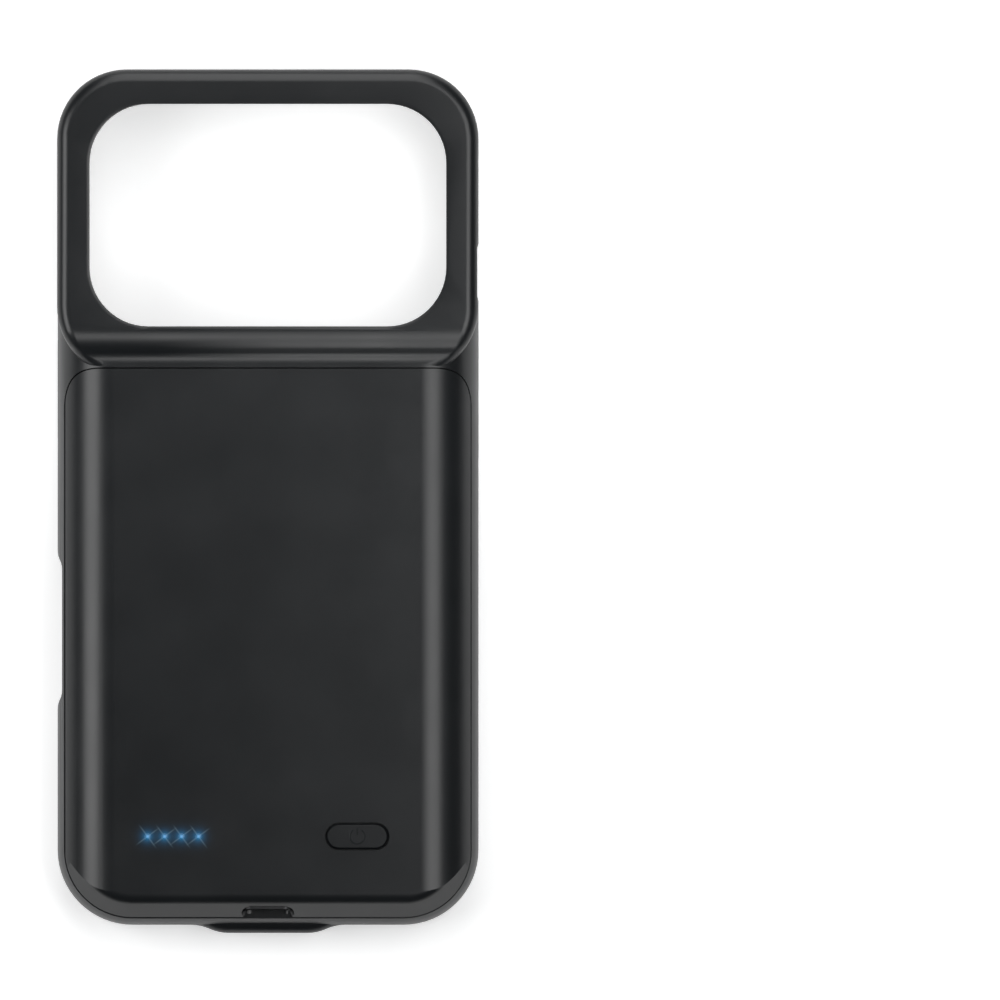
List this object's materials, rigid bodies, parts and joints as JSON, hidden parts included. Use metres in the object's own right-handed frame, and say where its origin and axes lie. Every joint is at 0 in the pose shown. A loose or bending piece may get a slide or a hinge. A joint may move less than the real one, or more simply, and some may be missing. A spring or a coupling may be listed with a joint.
{
  "type": "battery charging case",
  "caption": "Rigid black battery case: device pocket with an end plug, raised camera surround, domed battery cover with press button, status lights and a charging port.",
  "frame": {"origin": "middle of the whole case in plan, on the plane of the front rim that it lies on", "axes": "+X to the volume key side, +Y to the camera end, +Z out of the back, away from the device's screen"},
  "size_m": [0.077, 0.158, 0.0192],
  "materials": {
    "black_frame": "satin black polycarbonate",
    "black_cover": "satin black polycarbonate",
    "black_button": "satin black polycarbonate",
    "black_key": "satin black polycarbonate",
    "pouch_foil": "laminated foil pouch",
    "tape": "double-sided adhesive tape",
    "nickel": "nickel strip",
    "circuit_board": "green solder mask",
    "screw_steel": "blackened steel",
    "ferrite": "moulded ferrite",
    "chip": "moulded chip case",
    "capacitor": "ceramic chip with tinned ends",
    "led": "clear lens over a pale blue light",
    "baffle": "black foam rubber",
    "light_guide": "clear light guide, lit",
    "switch_steel": "stamped steel",
    "plunger": "black nylon",
    "port_steel": "blackened drawn steel",
    "plug_steel": "drawn steel",
    "port_plastic": "black liquid-crystal polymer",
    "plug_moulding": "black moulding",
    "flex_film": "amber polyimide film"
  },
  "bodies": {
    "case": {"main_frame": "black_frame", "battery_cover": "black_cover", "battery_cell": "pouch_foil", "cell_tape": "tape", "cell_tabs": "nickel", "protection_board": "circuit_board", "battery_leads": "nickel", "main_board": "circuit_board", "board_screws": "screw_steel", "power_inductor": "ferrite", "boost_converter": "chip", "charge_controller": "chip", "board_capacitors": "capacitor", "status_leds": "led", "led_baffle": "baffle", "light_guides": "light_guide", "switch_body": "switch_steel", "charge_port_shell": "port_steel", "charge_port_tongue": "port_plastic", "plug_shell": "plug_steel", "plug_core": "port_plastic", "plug_base": "plug_moulding", "plug_flex": "flex_film", "flex_connector": "port_plastic"},
    "power_button": {"power_button": "black_button", "switch_plunger": "plunger"},
    "side_key": {"side_key": "black_key"},
    "volume_up_key": {"volume_up_key": "black_key"},
    "volume_down_key": {"volume_down_key": "black_key"}
  },
  "joints": [
    {"name": "power_button_press", "type": "slide", "parent": "case", "child": "power_button", "axis": [0, 0, -1], "range_m": [0, 0.0003], "stiffness_N_per_m": 400},
    {"name": "side_key_press", "type": "slide", "parent": "case", "child": "side_key", "axis": [1, 0, 0], "range_m": [0, 0.0004], "stiffness_N_per_m": 300},
    {"name": "volume_up_press", "type": "slide", "parent": "case", "child": "volume_up_key", "axis": [-1, 0, 0], "range_m": [0, 0.0004], "stiffness_N_per_m": 300},
    {"name": "volume_down_press", "type": "slide", "parent": "case", "child": "volume_down_key", "axis": [-1, 0, 0], "range_m": [0, 0.0004], "stiffness_N_per_m": 300}
  ]
}
